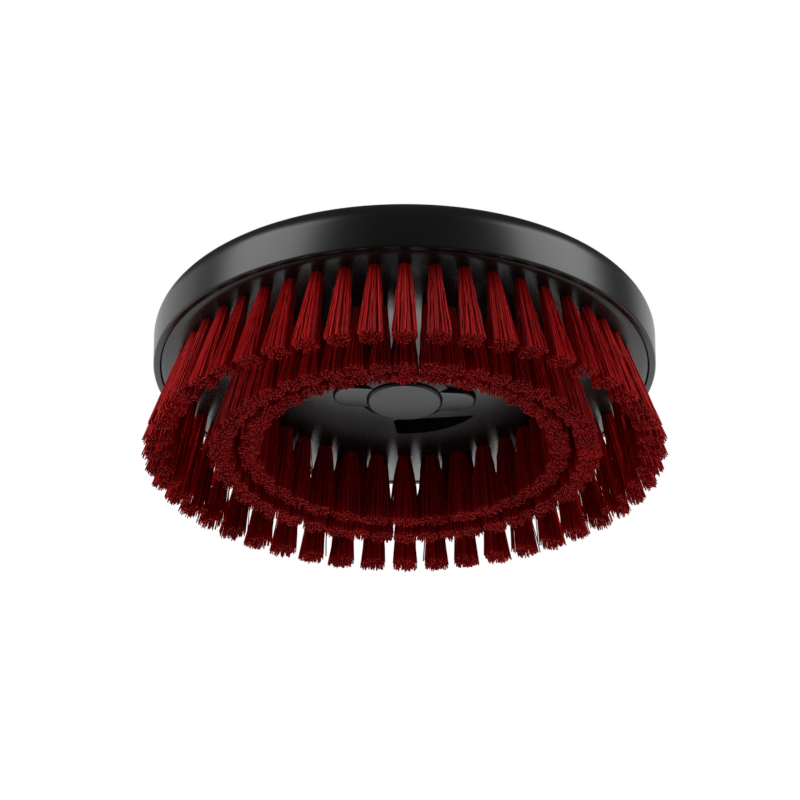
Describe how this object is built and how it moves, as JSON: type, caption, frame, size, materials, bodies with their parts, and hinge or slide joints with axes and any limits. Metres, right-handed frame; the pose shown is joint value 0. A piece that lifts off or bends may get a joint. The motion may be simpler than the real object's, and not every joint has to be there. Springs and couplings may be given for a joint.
{
  "type": "wheel brush",
  "caption": "Round red-bristled wheel brush with a domed black block, a smooth black cover and a two-winged twist lock at its centre.",
  "frame": {"origin": "on the spin axis, in the plane of the trimmed bristle tips", "axes": "+Z along the spin axis, away from the bristles and towards the drive socket; +X towards the wing of the twist lock when it is closed (turned 6 degrees from it); -Y is the side nearest the picture's camera"},
  "size_m": [0.2092, 0.2092, 0.0666],
  "materials": {
    "black_satin": "satin black moulded plastic",
    "black_gloss": "polished black moulded plastic",
    "hub_plastic": "matt glass-filled plastic",
    "red_filament": "red crimped synthetic filament",
    "zinc_steel": "zinc-plated steel",
    "seal_rubber": "matt black rubber"
  },
  "bodies": {
    "head": {"cover": "black_satin", "brush_block": "black_gloss", "outer_tufts_1": "red_filament", "outer_tufts_2": "red_filament", "outer_tufts_3": "red_filament", "outer_tufts_4": "red_filament", "outer_tufts_5": "red_filament", "outer_tufts_6": "red_filament", "outer_tufts_7": "red_filament", "outer_tufts_8": "red_filament", "middle_tufts_1": "red_filament", "middle_tufts_2": "red_filament", "middle_tufts_3": "red_filament", "middle_tufts_4": "red_filament", "middle_tufts_5": "red_filament", "middle_tufts_6": "red_filament", "middle_tufts_7": "red_filament", "middle_tufts_8": "red_filament", "inner_tufts_1": "red_filament", "inner_tufts_2": "red_filament", "inner_tufts_3": "red_filament", "inner_tufts_4": "red_filament", "inner_tufts_5": "red_filament", "inner_tufts_6": "red_filament", "inner_tufts_7": "red_filament", "inner_tufts_8": "red_filament", "hub_flange": "hub_plastic", "drive_sleeve": "zinc_steel", "hub_screw_1": "zinc_steel", "hub_screw_2": "zinc_steel", "hub_screw_3": "zinc_steel", "hub_screw_4": "zinc_steel", "cover_screw_1": "zinc_steel", "cover_screw_2": "zinc_steel", "cover_screw_3": "zinc_steel", "cover_screw_4": "zinc_steel", "cover_screw_5": "zinc_steel", "cover_screw_6": "zinc_steel", "wave_washer": "zinc_steel", "shaft_seal": "seal_rubber"},
    "knob": {"lock_knob": "black_satin", "knob_cap": "black_satin", "lock_cam": "zinc_steel", "knob_screw": "zinc_steel"}
  },
  "joints": [
    {"name": "knob_turn", "type": "hinge", "parent": "head", "child": "knob", "pos_m": [0, 0, 0.0271], "axis": [0, 0, 1], "range_deg": [0, 85]}
  ]
}
